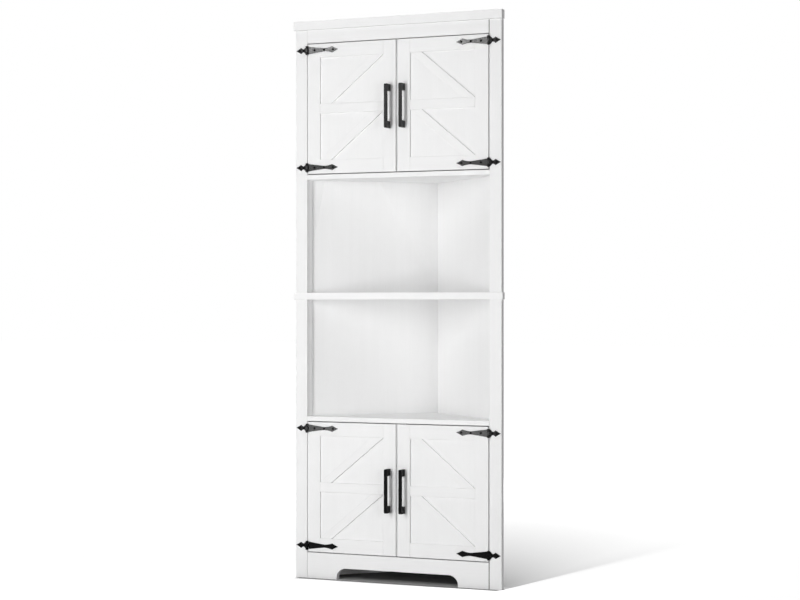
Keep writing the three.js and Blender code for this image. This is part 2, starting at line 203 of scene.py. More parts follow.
def arc(centre, radius, start, end, steps):
    """Points on an arc about a centre, as pairs. Angles are in degrees."""
    turns = [math.radians(start + (end - start) * step / steps) for step in range(steps + 1)]
    x, y = centre
    return [(x + radius * math.cos(turn), y + radius * math.sin(turn)) for turn in turns]


def curve(start, control, end, steps):
    """Points on a quadratic curve, without its first point."""
    points = []
    for step in range(1, steps + 1):
        t = step / steps
        axes = zip(start, control, end, strict=True)
        points.append(tuple(a * (1 - t) ** 2 + 2 * b * t * (1 - t) + c * t**2 for a, b, c in axes))
    return points


def rectangle(left, right, bottom, top):
    """The corners of an upright rectangle."""
    return [(left, bottom), (right, bottom), (right, top), (left, top)]


def prism(bm, points, offset):
    """A closed prism, drawn as one face and extruded. Returns its edges round the far face."""
    near = bm.faces.new([bm.verts.new(point) for point in points])
    made = bmesh.ops.extrude_face_region(bm, geom=[near], use_keep_orig=True)["geom"]
    far_verts = [item for item in made if isinstance(item, bmesh.types.BMVert)]
    bmesh.ops.translate(bm, verts=far_verts, vec=offset)
    far_face = next(item for item in made if isinstance(item, bmesh.types.BMFace))
    return list(far_face.edges)


def round_edges(bm, edges, width, segments=2):
    """Rounds the edges given."""
    bmesh.ops.bevel(
        bm,
        geom=list(edges),
        offset=width,
        offset_type="OFFSET",
        affect="EDGES",
        segments=segments,
        profile=0.5,
        material=-1,
        clamp_overlap=True,
    )


def turned(bm, profile, steps):
    """Spins a profile of radius and height pairs about the Z axis."""
    verts = [bm.verts.new((radius, 0.0, height)) for radius, height in profile]
    edges = [bm.edges.new(pair) for pair in zip(verts, verts[1:])]
    bmesh.ops.spin(
        bm,
        geom=verts + edges,
        cent=(0, 0, 0),
        axis=(0, 0, 1),
        angle=math.tau,
        steps=steps,
        use_merge=True,
    )
    bmesh.ops.remove_doubles(bm, verts=bm.verts, dist=MM / 1000)


def as_mesh(name, bm):
    """Turns a bmesh into a mesh."""
    bmesh.ops.recalc_face_normals(bm, faces=bm.faces)
    mesh = bpy.data.meshes.new(name)
    bm.to_mesh(mesh)
    bm.free()
    return mesh


def placed(name, data):
    """A new object in the scene, at the origin."""
    made = bpy.data.objects.new(name, data)
    bpy.context.scene.collection.objects.link(made)
    return made


def finished(name, bm, material, body, replaced=(), crease=30):
    """Turns a bmesh into a piece that rides on a body."""
    mesh = as_mesh(name, bm)
    mesh.shade_smooth()
    mesh.set_sharp_from_angle(angle=math.radians(crease))
    mesh.materials.append(material)
    piece = placed(name, mesh)
    flatten = piece.modifiers.new("flat faces", "WEIGHTED_NORMAL")
    flatten.weight = 100
    flatten.keep_sharp = True
    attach(piece, body)
    if replaced:
        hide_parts(*replaced)
    return piece


def place_copies(bm, source, matrices):
    """Adds copies of a mesh to a bmesh, each with its own place."""
    for matrix in matrices:
        before = set(bm.verts)
        bm.from_mesh(source)
        added = [vert for vert in bm.verts if vert not in before]
        bmesh.ops.transform(bm, matrix=matrix, verts=added)


# Finishes


def node(tree, kind, **values):
    """Adds a node and sets its properties, or its inputs where a name starts with a capital."""
    made = tree.nodes.new(f"ShaderNode{kind}")
    for key, value in values.items():
        if key[0].isupper():
            made.inputs[key.replace("_", " ")].default_value = value
        else:
            setattr(made, key, value)
    return made


COAT_INPUTS = {"Vector": "Vector", "Tint": "Color", "Roughness": "Float"}
GRAIN_INPUTS = {**COAT_INPUTS, "Tone": "Float"}
GROUP_OUTPUTS = {"Color": "Color", "Roughness": "Float", "Height": "Float"}


def new_group(name, inputs):
    """An empty effect with named sockets. Returns its tree, its input node and its output node."""
    tree = bpy.data.node_groups.new(name, "ShaderNodeTree")
    for way, sockets in (("INPUT", inputs), ("OUTPUT", GROUP_OUTPUTS)):
        for socket, kind in sockets.items():
            tree.interface.new_socket(name=socket, in_out=way, socket_type=f"NodeSocket{kind}")
    return tree, tree.nodes.new("NodeGroupInput"), tree.nodes.new("NodeGroupOutput")


def stretched_noise(tree, vector, scale, detail):
    """Noise whose cells are stretched along Z."""
    mapping = node(tree, "Mapping", Scale=scale)
    noise = node(tree, "TexNoise", Scale=1.0, Detail=detail, Roughness=0.6)
    tree.links.new(vector, mapping.inputs["Vector"])
    tree.links.new(mapping.outputs["Vector"], noise.inputs["Vector"])
    return noise.outputs["Fac"]


def mixed(tree, kind, *values):
    """A math node over sockets or numbers."""
    made = node(tree, "Math", operation=kind)
    for slot, value in enumerate(values):
        if isinstance(value, (int, float)):
            made.inputs[slot].default_value = value
        else:
            tree.links.new(value, made.inputs[slot])
    return made.outputs[0]


def product(tree, *factors):
    """The product of sockets or numbers."""
    total, *others = factors
    for factor in others:
        total = mixed(tree, "MULTIPLY", total, factor)
    return total


def ramp(tree, value, from_min, from_max, to_min, to_max, smooth=False):
    """Maps a socket from one range to another."""
    kind = "SMOOTHSTEP" if smooth else "LINEAR"
    spans = {"From_Min": from_min, "From_Max": from_max, "To_Min": to_min, "To_Max": to_max}
    made = node(tree, "MapRange", interpolation_type=kind, **spans)
    tree.links.new(value, made.inputs["Value"])
    return made.outputs["Result"]


def swung(tree, value, swing, base):
    """A base that a value from 0 to 1 moves down or up by a swing."""
    return mixed(tree, "MULTIPLY_ADD", mixed(tree, "MULTIPLY_ADD", value, 2.0, -1.0), swing, base)


def end_group(tree, source, sink, shade, uneven, swing, height):
    """Feeds a group's outputs: its tint times a shade, its roughness with a swing, its height."""
    tinted = node(tree, "VectorMath", operation="SCALE")
    tree.links.new(source.outputs["Tint"], tinted.inputs[0])
    tree.links.new(shade, tinted.inputs["Scale"])
    tree.links.new(tinted.outputs["Vector"], sink.inputs["Color"])
    rough = swung(tree, uneven, swing, source.outputs["Roughness"])
    tree.links.new(rough, sink.inputs["Roughness"])
    tree.links.new(height, sink.inputs["Height"])
    return tree


# Cells per metre of the grain and of the coat, along X, Y and Z, and how they mix
GRAIN_BANDS = (42.0, 42.0, 1.6)
GRAIN_RIBBONS = (210.0, 210.0, 5.0)
GRAIN_PORES = (1100.0, 1100.0, 26.0)
COAT_RIPPLE = (1400.0, 1400.0, 1400.0)
COAT_MOTTLE = (90.0, 90.0, 90.0)
PORE_SPAN = (0.30, 0.42)
FINER_SHARE = 0.55
RIBBON_SHARE = 0.45
GRAIN_SWING = 0.14
COAT_SWING = 0.12
COAT_TONES = (0.5, 0.75)


def grain_group():
    """Pressed grain that runs along Z: broad bands, ribbons and fine pores."""
    tree, source, sink = new_group("Pressed Grain", GRAIN_INPUTS)
    vector = source.outputs["Vector"]
    tone = source.outputs["Tone"]
    bands = stretched_noise(tree, vector, GRAIN_BANDS, 2.0)
    ribbons = stretched_noise(tree, vector, GRAIN_RIBBONS, 3.0)
    pores = stretched_noise(tree, vector, GRAIN_PORES, 2.0)
    ribbon = product(tree, ribbons, RIBBON_SHARE)
    broad = mixed(tree, "MULTIPLY_ADD", bands, FINER_SHARE, ribbon)
    fine = mixed(tree, "MULTIPLY_ADD", pores, FINER_SHARE, ribbon)
    pits = ramp(tree, pores, *PORE_SPAN, 0.0, 1.0)
    shade = swung(tree, broad, tone, 1.0)
    pitted = mixed(tree, "MULTIPLY_ADD", mixed(tree, "SUBTRACT", pits, 1.0), tone, shade)
    height = product(tree, fine, pits)
    return end_group(tree, source, sink, pitted, fine, GRAIN_SWING, height)


def coat_group():
    """The fine ripple and faint mottling of a baked powder coat."""
    tree, source, sink = new_group("Powder Ripple", COAT_INPUTS)
    vector = source.outputs["Vector"]
    ripple = stretched_noise(tree, vector, COAT_RIPPLE, 2.0)
    mottle = stretched_noise(tree, vector, COAT_MOTTLE, 3.0)
    shade = mixed(tree, "MULTIPLY_ADD", mottle, *COAT_TONES)
    return end_group(tree, source, sink, shade, mottle, COAT_SWING, ripple)


def new_material(name, **principled):
    """A new material with its node tree and its shader, whose inputs take these values."""
    material = bpy.data.materials.new(name)
    material.use_nodes = True
    shader = material.node_tree.nodes["Principled BSDF"]
    for socket, value in principled.items():
        shader.inputs[socket.replace("_", " ")].default_value = value
    return material, material.node_tree, shader


def shaded_material(name, maker, group, coordinates, turn, values, depth, **principled):
    """A material whose colour, roughness and bump come from a group over turned coordinates."""
    material = bpy.data.materials.get(name)
    if material:
        return material
    material, tree, shader = new_material(name, **principled)
    place = node(tree, "TexCoord")
    mapping = node(tree, "Mapping", Rotation=turn)
    shared = bpy.data.node_groups.get(group) or maker()
    effect = node(tree, "Group", node_tree=shared)
    bump = node(tree, "Bump", Strength=1.0, Distance=depth)
    for socket, value in values.items():
        effect.inputs[socket].default_value = value
    tree.links.new(place.outputs[coordinates], mapping.inputs["Vector"])
    tree.links.new(mapping.outputs["Vector"], effect.inputs["Vector"])
    tree.links.new(effect.outputs["Color"], shader.inputs["Base Color"])
    tree.links.new(effect.outputs["Roughness"], shader.inputs["Roughness"])
    tree.links.new(effect.outputs["Height"], bump.inputs["Height"])
    tree.links.new(bump.outputs["Normal"], shader.inputs["Normal"])
    return material


UPRIGHT = (0.0, 0.0, 0.0)
LEVEL = (0.0, math.pi / 2, 0.0)
ALONG_V = (math.pi / 2, 0.0, 0.0)
# The walls, blocks and shelves take the lighter tints, painted light on the one laminate
LAMINATES = {
    "upright": ("Object", UPRIGHT, "tint"),
    "walls": ("Object", UPRIGHT, "brightened_inner_tint"),
    "blocks": ("Object", UPRIGHT, "brightened_block_tint"),
    "level": ("Object", LEVEL, "tint"),
    "shelves": ("Object", LEVEL, "brightened_inner_tint"),
    "members": ("UV", ALONG_V, "tint"),
}


def laminate(kind):
    """White laminate of a kind above, with its coordinates, the turn of its grain and its tint."""
    coordinates, turn, tint = LAMINATES[kind]
    finish = bpy.context.scene.cupboard_laminate
    values = {
        "Tint": (*getattr(finish, tint), 1.0),
        "Tone": finish.grain_tone,
        "Roughness": finish.roughness,
    }
    effect = (grain_group, "Pressed Grain", coordinates, turn, values, finish.grain_depth)
    return shaded_material(f"white laminate {kind}", *effect, Specular_IOR_Level=0.4)


def coated(name, tint, roughness, depth, **principled):
    """A coat with a fine ripple."""
    values = {"Tint": (*tint, 1.0), "Roughness": roughness}
    effect = (coat_group, "Powder Ripple", "Object", UPRIGHT, values, depth)
    return shaded_material(name, *effect, **principled)


def black_coat(kind):
    """Powder coat as it is, or copies with a painted sheen on door leaves or painted shade low
    down.
    """
    finish = bpy.context.scene.cupboard_black
    roughness = getattr(finish, f"{kind}_roughness")
    specular = getattr(finish, f"{kind}_specular")
    name = f"black {kind} coat"
    return coated(name, finish.tint, roughness, finish.texture_depth, Specular_IOR_Level=specular)


def black_screw():
    """Black oxide on the hinge screws, duller and darker than the leaves."""
    tint = (0.002, 0.002, 0.002)
    return coated("black oxide screw", tint, 0.6, MM / 100, Specular_IOR_Level=0.08)


def zinc():
    """Zinc plate on the bolts and strike plates."""
    return coated("zinc plate", (0.62, 0.62, 0.60), 0.32, MM / 100, Metallic=1.0)


def white_plastic():
    """Moulded plastic of the catches and screw covers."""
    return coated("white plastic", (0.80, 0.80, 0.78), 0.5, MM / 50)


def raw_end_and_seam_shade():
    """The sawn ends of a board where the chips show, kept dark as painted shade in the seams."""
    material, tree, shader = new_material("raw board ends", Roughness=0.9)
    place = node(tree, "TexCoord")
    chips = node(tree, "TexVoronoi", Scale=900.0)
    tones = node(tree, "ValToRGB")
    tones.color_ramp.elements[0].color = (0.10, 0.085, 0.07, 1.0)
    tones.color_ramp.elements[1].color = (0.24, 0.20, 0.16, 1.0)
    bump = node(tree, "Bump", Strength=0.6, Distance=0.0002)
    tree.links.new(place.outputs["Object"], chips.inputs["Vector"])
    tree.links.new(chips.outputs["Distance"], tones.inputs["Fac"])
    tree.links.new(chips.outputs["Distance"], bump.inputs["Height"])
    tree.links.new(tones.outputs["Color"], shader.inputs["Base Color"])
    tree.links.new(bump.outputs["Normal"], shader.inputs["Normal"])
    return material


# Doors

# An edge this close to the middle of the cupboard is where two doors meet
MEETING_REACH = 0.004
# How far the grain moves on from member to member, and where the edge band's starts
MEMBER_SHIFT = 1.7
BAND_SHIFT = 0.9
SHARP_EDGE = math.radians(40)


def door_members(low, high, side, sizes):
    """The outlines of a door's members in X and Z, each with the direction of its grain."""
    meeting, hinged = (low.x, high.x) if side > 0 else (high.x, low.x)
    hinged -= sizes.hang
    meeting += side * sizes.meet
    seam = sizes.seam
    inner = meeting + side * (sizes.stile_width - sizes.meet)
    outer = hinged - side * sizes.stile_width
    foot = side * sizes.brace_foot_width
    field = (high.z - low.z - 2 * sizes.rail_width - sizes.middle_rail_width) / 2
    bottoms = (low.z + sizes.rail_width, high.z - sizes.rail_width - field)
    rails = ((low.z, bottoms[0]), (bottoms[0] + field, bottoms[1]), (bottoms[1] + field, high.z))
    members = [
        (rectangle(meeting, inner, low.z, high.z), (0.0, 1.0)),
        (rectangle(outer, hinged, low.z, high.z), (0.0, 1.0)),
    ]
    near = inner + side * seam
    far = outer - side * seam
    for bottom, top in rails:
        members.append((rectangle(near, far, bottom, top), (1.0, 0.0)))
    for bottom in bottoms:
        foot_z = bottom + seam
        head_z = bottom + field - seam
        outline = [(near, head_z), (near + foot, head_z), (far, foot_z), (far - foot, foot_z)]
        along = Vector((far - foot - near, foot_z - head_z)).normalized()
        members.append((outline, tuple(along)))
    return members


def add_member(bm, grain, outline, along, back, front, arris, shift, meeting_arris=0.0):
    """One member of a door, with its front edges softened and its grain laid along it."""
    before = set(bm.faces)
    edges_before = set(bm.edges)
    points = [(x, back, z) for x, z in outline]
    edges = prism(bm, points, (0.0, front - back, 0.0))
    if meeting_arris:
        meets = [
            edge for edge in edges if max(abs(vert.co.x) for vert in edge.verts) < MEETING_REACH
        ]
        round_edges(bm, meets, meeting_arris, 4)
    rims = [
        edge
        for edge in bm.edges
        if edge not in edges_before
        and edge.calc_face_angle(0.0) > SHARP_EDGE
        and max(vert.co.y for vert in edge.verts) < back - MM / 10
    ]
    round_edges(bm, rims, arris)
    for face in bm.faces:
        if face in before:
            continue
        for loop in face.loops:
            spot = loop.vert.co
            run = spot.x * along[0] + spot.z * along[1]
            across = spot.x * along[1] - spot.z * along[0]
            loop[grain].uv = (across + spot.y + shift, run + shift)


class CUPBOARD_OT_door_frames(Operator):
    """Makes the raised stiles, rails and braces on the four doors"""

    bl_idname = "cupboard.door_frames"
    bl_label = "Door Frames"

    def execute(self, context):
        sizes = context.scene.cupboard_doors
        for level, hand, side in QUARTERS:
            door = f"{level}_{hand}_door"
            low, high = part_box(f"{door}_battens")
            bm = bmesh.new()
            grain = bm.loops.layers.uv.new("grain")
            for index, (outline, along) in enumerate(door_members(low, high, side, sizes)):
                shift = index * MEMBER_SHIFT
                wide = 0.0 if index else sizes.meeting_arris
                add_member(bm, grain, outline, along, high.y, low.y, sizes.arris, shift, wide)
            slab_low, slab_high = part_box(f"{door}_slab")
            edge = slab_low.x if side > 0 else slab_high.x
            inner = edge - side * sizes.band
            outer = edge + side * sizes.meet
            band = rectangle(inner, outer, low.z, high.z)
            reach = (slab_high.y, slab_low.y)
            add_member(bm, grain, band, (0.0, 1.0), *reach, sizes.arris / 2, BAND_SHIFT)
            name = f"{door}_frame"
            coat = laminate("members")
            finished(name, bm, coat, door, [f"{door}_battens"], 35)
        return {"FINISHED"}


# Handles


def handle_outline(low, high, sizes):
    """A handle's side view as Y and Z pairs, its lower half mirrored from the upper."""
    centre = (low.z + high.z) / 2
    half = (high.z - low.z) / 2
    inner = half - sizes.foot_height
    corner = (low.y + sizes.corner_radius, half - sizes.corner_radius)
    cove = (low.y + sizes.bar_thickness + sizes.cove_radius, inner - sizes.cove_radius)
    upper = arc(corner, sizes.corner_radius, 180, 90, 10)
    upper += [(high.y, half), (high.y, inner)]
    upper += arc(cove, sizes.cove_radius, 90, 180, 6)
    lower = [(y, -z) for y, z in reversed(upper)]
    return [(y, centre + z) for y, z in upper + lower]


class CUPBOARD_OT_handles(Operator):
    """Makes the four bow handles"""

    bl_idname = "cupboard.handles"
    bl_label = "Handles"

    def execute(self, context):
        sizes = context.scene.cupboard_handles
        for level, hand, _ in QUARTERS:
            name = f"{level}_{hand}_handle"
            low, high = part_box(name)
            bm = bmesh.new()
            outline = handle_outline(low, high, sizes)
            near = [(low.x, y, z) for y, z in outline]
            prism(bm, near, (high.x - low.x, 0.0, 0.0))
            rims = [
                edge
                for edge in bm.edges
                if abs(edge.verts[0].co.x - edge.verts[1].co.x) < SAME_SPOT
                and max(vert.co.y for vert in edge.verts) < high.y + MM
            ]
            round_edges(bm, rims, sizes.arris, 3)
            # The lower handles take the copy of the coat with painted shade
            coat = black_coat("dull" if level == "lower" else "powder")
            finished(f"{name}_bow", bm, coat, f"{level}_{hand}_door", [name], 50)
        return {"FINISHED"}


# Screws

# A dome's turns from its crown, and the shares of its rise at its base and its skirt
DOME_TURNS = (0.15, 0.45, 0.8, 1.15, 1.4)
DOME_BASE = 0.25
SKIRT = 0.2
# A cross's reach and width as shares of the radius, its depth as a share of the rise, its taper
HINGE_CROSS = (1.15, 0.3)
BOLT_CROSS = (1.1, 0.28)
CROSS_DEPTH = 0.6
CROSS_TAPER = 0.6
BACKWARD = -1
FORWARD = 1


def screw_head(radius, rise, cross):
    """A domed head with a cross recess, standing on the XY plane. Returns a mesh."""
    bm = bmesh.new()
    dome = [
        (radius * math.sin(turn), rise * (DOME_BASE + (1 - DOME_BASE) * math.cos(turn)))
        for turn in DOME_TURNS
    ]
    turned(bm, [(0.0, rise)] + dome + [(radius, rise * SKIRT), (radius, 0.0), (0.0, 0.0)], 20)
    blank = placed("screw blank", as_mesh("screw head blank", bm))
    bm = bmesh.new()
    reach, width = (radius * part for part in cross)
    for size in ((reach, width), (width, reach)):
        centre = Matrix.Translation((0.0, 0.0, rise - rise * CROSS_DEPTH + rise))
        shape = centre @ Matrix.Diagonal((*size, 2 * rise, 1.0))
        cube = bmesh.ops.create_cube(bm, size=1.0, matrix=shape)
        bottom = [vert for vert in cube["verts"] if vert.co.z < rise]
        bmesh.ops.scale(bm, verts=bottom, vec=(CROSS_TAPER, CROSS_TAPER, 1.0))
    tool = placed("screw tool", as_mesh("screw cross", bm))
    cut = blank.modifiers.new("cross", "BOOLEAN")
    cut.object = tool
    cut.operation = "DIFFERENCE"
    cut.solver = "EXACT"
    cut.use_self = True
    depsgraph = bpy.context.evaluated_depsgraph_get()
    shape = bpy.data.meshes.new_from_object(blank.evaluated_get(depsgraph))
    for item in (blank, tool):
        mesh = item.data
        bpy.data.objects.remove(item)
        bpy.data.meshes.remove(mesh)
    return shape


def facing(way, spot, twist):
    """Stands something made on the XY plane on a face that looks forward or backward, twisted."""
    upright = Matrix.Rotation(way * math.pi / 2, 4, "X")
    return Matrix.Translation(spot) @ upright @ Matrix.Rotation(twist, 4, "Z")


# Hinges

# Hinges under this height take the copy of the coat with painted shade
LOWEST_HINGE = 0.3
# How much the curves of a leaf's edge hollow before its waist and before its tip
WAIST_HOLLOW = 2.1
TIP_HOLLOW = 2.4
# Degrees that a knuckle's sheet runs round its pin
CURL_TURN = 330
# Turns of the screws' crosses in radians, from one to the next and per metre of height
SCREW_TWIST = 0.7
HEIGHT_TWIST = 3.0
# A pin head's turns, and the shares of its rise at its rim and where its crown starts
PIN_TURNS = (0.0, 0.4, 0.8, 1.2)
PIN_RIM = 0.1
PIN_BASE = 0.3
# The shares of a leaf's reach at its waist, its spear's shoulders and its screws
DOOR_LEAF = {"part": "door_leaf", "waist": 0.55, "spear": 0.81, "screws": (0.24, 0.55, 0.84)}
STILE_LEAF = {"part": "stile_leaf", "waist": 0.31, "spear": 0.56, "screws": (0.31, 0.66)}


def leaf_edge(leaf, reach, start, sizes):
    """The upper edge of a leaf from its root to its tip, as distances from the pin and heights."""
    waist = (reach * leaf["waist"], sizes.waist_height / 2)
    spear = (reach * leaf["spear"], sizes.spear_height / 2)
    root = (start, sizes.root_height / 2)
    tip = (reach, 0.0)
    hollow = ((root[0] + waist[0]) / 2, (root[1] + waist[1]) / WAIST_HOLLOW)
    swell = ((waist[0] + spear[0]) / 2, waist[1])
    point = ((spear[0] + tip[0]) / 2, spear[1] / TIP_HOLLOW)
    edge = [root] + curve(root, hollow, waist, 8) + curve(waist, swell, spear, 8)
    return edge + curve(spear, point, tip, 6)


def knuckle_spans(leaf, barrel_half, sizes):
    """The heights of a leaf's knuckles, about the middle of the hinge."""
    middle = sizes.middle_knuckle / 2
    if leaf is DOOR_LEAF:
        return [(-middle, middle)]
    return [(-barrel_half, -middle - sizes.knuckle_gap), (middle + sizes.knuckle_gap, barrel_half)]


def leaf_plate(leaf, reach, radius, spans, sizes):
    """A leaf's outline with its root notched for the other leaf's knuckles."""
    start = radius + sizes.knuckle_gap
    root = sizes.root_height / 2
    edge = leaf_edge(leaf, reach, start, sizes)
    lower = [(u, -z) for u, z in reversed(edge[:-1])]
    notched = []
    for low, high in spans:
        low = max(low, -root)
        high = min(high, root)
        notched += [(start, low), (0.0, low), (0.0, high), (start, high)]
    outline = edge + lower + notched
    pairs = zip(outline, outline[1:] + outline[:1])
    return [point for point, after in pairs if math.dist(point, after) > SAME_SPOT]


def curl_section(radius, sizes, away):
    """The section of a knuckle: the sheet rolled round the pin, open by a hair where it closes."""
    bore = sizes.pin_radius + sizes.bore_clearance
    outer = arc((0.0, 0.0), radius, 90, 90 + CURL_TURN, 30)
    inner = arc((0.0, 0.0), bore, 90 + CURL_TURN, 90, 24)
    return [(away * -x, y) for x, y in outer + inner]


def add_leaf(level, hand, end, leaf, sizes, head):
    """One leaf of a hinge with its knuckles, and the screws that hold it."""
    hinge = f"{level}_{hand}_{end}_hinge"
    name = f"{hinge}_{leaf['part']}"
    on_door = leaf is DOOR_LEAF
    body = f"{level}_{hand}_door" if on_door else CARCASS
    away = -SIDES[hand] if on_door else SIDES[hand]
    pin_low, pin_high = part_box(f"{hinge}_pin")
    axis = (pin_low + pin_high) / 2
    low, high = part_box(f"{hinge}_{leaf['part']}")
    stile_low, stile_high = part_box(f"{hinge}_{STILE_LEAF['part']}")
    barrel_half = (stile_high.z - stile_low.z) / 2
    radius = high.y - axis.y
    reach = (high.x - axis.x) if away > 0 else (axis.x - low.x)
    spans = knuckle_spans(leaf, barrel_half, sizes)
    front = high.y - sizes.leaf_thickness
    bm = bmesh.new()
    outline = leaf_plate(leaf, reach, radius, spans, sizes)
    points = [(axis.x + away * u, high.y, axis.z + z) for u, z in outline]
    edges = prism(bm, points, (0.0, -sizes.leaf_thickness, 0.0))
    soft = [
        edge for edge in edges if min(abs(vert.co.x - axis.x) for vert in edge.verts) > radius
    ]
    round_edges(bm, soft, sizes.arris)
    curl = curl_section(radius, sizes, away)
    for bottom, top in spans:
        section = [(axis.x + x, axis.y + y, axis.z + bottom) for x, y in curl]
        prism(bm, section, (0.0, 0.0, top - bottom))
    # Door leaves take the coat with painted sheen, low hinges the one with painted shade
    upper_kind = "satin" if on_door else "powder"
    coat = black_coat("dull" if axis.z < LOWEST_HINGE else upper_kind)
    finished(f"{name}_strap", bm, coat, body, [name])
    bm = bmesh.new()
    places = []
    for index, reach_share in enumerate(leaf["screws"]):
        spot = (axis.x + away * reach * reach_share, front, axis.z)
        places.append(facing(FORWARD, spot, SCREW_TWIST * index + axis.z * HEIGHT_TWIST))
    place_copies(bm, head, places)
    finished(f"{name}_screws", bm, black_screw(), body)


def add_pin(level, hand, end, sizes):
    """A hinge's pin with its two button heads."""
    name = f"{level}_{hand}_{end}_hinge_pin"
    low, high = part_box(name)
    axis = (low + high) / 2
    half = (high.z - low.z) / 2
    head_radius = (high.x - low.x) / 2
    stile_low, stile_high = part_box(f"{level}_{hand}_{end}_hinge_stile_leaf")
    seat = (stile_high.z - stile_low.z) / 2
    rise = half - seat
    rim = seat + rise * PIN_RIM
    crown = []
    for turn in PIN_TURNS:
        height = seat + rise * (PIN_BASE + (1 - PIN_BASE) * math.sin(turn))
        crown.append((head_radius * math.cos(turn), height))
    upper = [(sizes.pin_radius, rim), (head_radius, rim)] + crown + [(0.0, half)]
    lower = [(radius, -height) for radius, height in reversed(upper)]
    bm = bmesh.new()
    turned(bm, lower + upper, 24)
    bmesh.ops.translate(bm, verts=bm.verts, vec=axis)
    finished(f"{name}_turned", bm, black_coat("powder"), CARCASS, [name], 40)


class CUPBOARD_OT_hinges(Operator):
    """Makes the eight strap hinges with their pins and screws"""

    bl_idname = "cupboard.hinges"
    bl_label = "Hinges"

    def execute(self, context):
        sizes = context.scene.cupboard_hinges
        head = screw_head(sizes.screw_radius, sizes.screw_rise, HINGE_CROSS)
        for level, hand, _ in QUARTERS:
            for end in HINGE_ENDS:
                for leaf in (DOOR_LEAF, STILE_LEAF):
                    add_leaf(level, hand, end, leaf, sizes, head)
                add_pin(level, hand, end, sizes)
        bpy.data.meshes.remove(head)
        return {"FINISHED"}


# Fixings inside and behind

PLATE_CORNER = 2 * MM
# A bolt head's rise as a share of its radius, and a cover's profile as shares of its sizes
BOLT_RISE = 0.5
CAP_DOME = ((0.0, 1.0), (0.8, 0.9), (1.0, 0.3), (1.0, 0.0), (0.0, 0.0))
CAPPED_BOARDS = {
    "lower": ("bottom_board", "lower_deck", "middle_shelf"),
    "upper": ("upper_floor", "top_cap"),
}
# The steps from a wall's front end to its first cover, and those added to the row
CAP_FIRST = 0.6
CAP_ENDS = 0.2


class CUPBOARD_OT_handle_bolts(Operator):
    """Makes the bolt heads behind each handle, on the inside of the doors"""

    bl_idname = "cupboard.handle_bolts"
    bl_label = "Handle Bolts"

    def execute(self, context):
        sizes = context.scene.cupboard_handles
        head = screw_head(sizes.bolt_radius, sizes.bolt_radius * BOLT_RISE, BOLT_CROSS)
        inset = sizes.foot_height / 2
        for level, hand, _ in QUARTERS:
            door = f"{level}_{hand}_door"
            low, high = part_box(f"{level}_{hand}_handle")
            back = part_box(f"{door}_slab")[1].y
            middle = (low.x + high.x) / 2
            heights = (low.z + inset, high.z - inset)
            bm = bmesh.new()
            places = [facing(BACKWARD, (middle, back, height), height) for height in heights]
            place_copies(bm, head, places)
            finished(f"{level}_{hand}_handle_bolts", bm, zinc(), door)
        bpy.data.meshes.remove(head)
        return {"FINISHED"}


class CUPBOARD_OT_strike_plates(Operator):
    """Makes the steel plates that the magnets hold, on the inside of the doors"""

    bl_idname = "cupboard.strike_plates"
    bl_label = "Strike Plates"

    def execute(self, context):
        sizes = context.scene.cupboard_fixings
        for level, hand, side in QUARTERS:
            catch_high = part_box(f"{level}_magnetic_catch")[1]
            door = f"{level}_{hand}_door"
            slab_low, slab_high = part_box(f"{door}_slab")
            outer = side * (catch_high.x - MM)
            inner = outer - side * sizes.plate_width
            top = slab_high.z - MM
            bottom = top - sizes.plate_height
            bm = bmesh.new()
            points = [(x, slab_high.y, z) for x, z in rectangle(inner, outer, bottom, top)]
            prism(bm, points, (0.0, sizes.plate_thickness, 0.0))
            uprights = [
                edge
                for edge in bm.edges
                if abs(edge.verts[0].co.y - edge.verts[1].co.y) > MM / 10
            ]
            round_edges(bm, uprights, PLATE_CORNER, 4)
            finished(f"{level}_{hand}_strike_plate", bm, zinc(), door)
        return {"FINISHED"}


class CUPBOARD_OT_screw_caps(Operator):
    """Makes the covers over the assembly screws, on the outside of the wall panels"""

    bl_idname = "cupboard.screw_caps"
    bl_label = "Screw Caps"

    def execute(self, context):
        sizes = context.scene.cupboard_fixings
        radius = sizes.cap_radius
        bm = bmesh.new()
        turned(bm, [(radius * out, sizes.cap_rise * up) for out, up in CAP_DOME], 28)
        cap = as_mesh("cap blank", bm)
        reach = WALL_REACH - FRONT_Y
        step = reach / (sizes.caps_per_board + CAP_ENDS)
        for level, hand, side in QUARTERS:
            panel_low, panel_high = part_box(f"{level}_left_wall_panel")
            turn = Matrix.Rotation(-side * math.pi / 4, 4, "Z")
            turn @= Matrix.Rotation(-math.pi / 2, 4, "X")
            places = []
            for board in CAPPED_BOARDS[level]:
                board_low, board_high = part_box(board)
                height = (board_low.z + board_high.z) / 2
                height = min(max(height, panel_low.z + 2 * radius), panel_high.z - 2 * radius)
                for index in range(sizes.caps_per_board):
                    along = step * (index + CAP_FIRST)
                    spot = (side * (reach - along), FRONT_Y + along, height)
                    places.append(Matrix.Translation(spot) @ turn)
            bm = bmesh.new()
            place_copies(bm, cap, places)
            name = f"{level}_{hand}_screw_caps"
            finished(name, bm, white_plastic(), CARCASS, (), 40)
        bpy.data.meshes.remove(cap)
        return {"FINISHED"}


# Boards

QUARTER_BOARDS = {
    "stile": "upright",
    "door_slab": "upright",
    "wall_panel": "walls",
    "corner_block": "blocks",
}
FIXED_SHELVES = ("bottom_board", "lower_deck", "middle_shelf", "upper_floor")
BOARD_ANGLE = math.radians(30)
# The open seams at the left and the right end of each front rail, in millimetres
RAIL_SEAMS = {"header_rail": (0.0, 1.9), "base_apron": (0.7, 2.1)}
# A rail's right end: the faces this near to it that look this straight to the right
# Only these take the dark raw finish: the sawn board, darkened as painted shade in the seam
RAW_END_REACH = 5 * MM
END_FACING = 0.99


